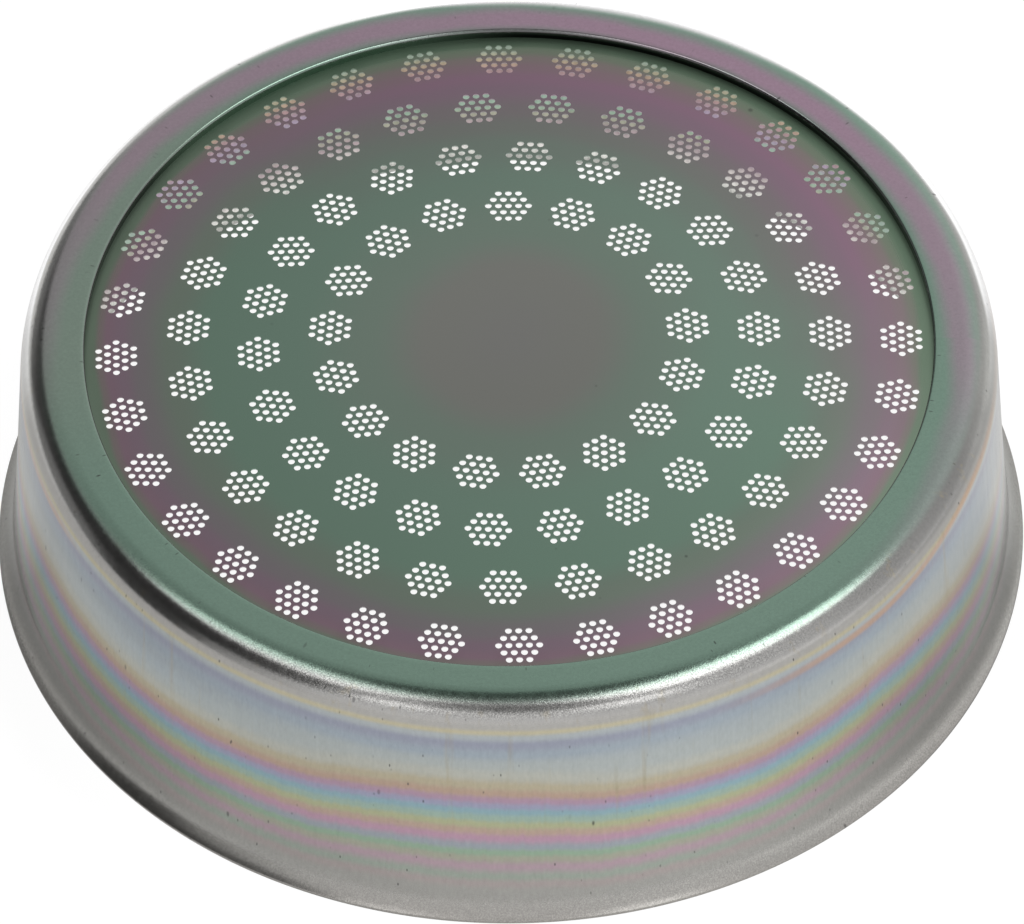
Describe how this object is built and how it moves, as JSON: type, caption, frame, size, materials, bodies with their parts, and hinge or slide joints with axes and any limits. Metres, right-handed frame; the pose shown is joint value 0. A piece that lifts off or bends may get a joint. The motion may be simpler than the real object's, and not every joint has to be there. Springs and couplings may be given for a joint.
{
  "type": "espresso shower screen",
  "caption": "Round drawn steel shower screen with a flat rim, a rolled shoulder, a flared lip and a shallow domed membrane of clustered fine holes.",
  "frame": {"origin": "centre of the plane that the lip's trimmed edge stands on", "axes": "+Z along the screen's axis, from the open lip towards the perforated face"},
  "size_m": [0.06, 0.06, 0.0171],
  "materials": {
    "shell_steel": "satin coated stainless steel with interference colours",
    "membrane_steel": "smooth coated stainless steel with interference colours"
  },
  "bodies": {
    "root": {"shell": "shell_steel", "membrane": "membrane_steel"}
  },
  "joints": []
}
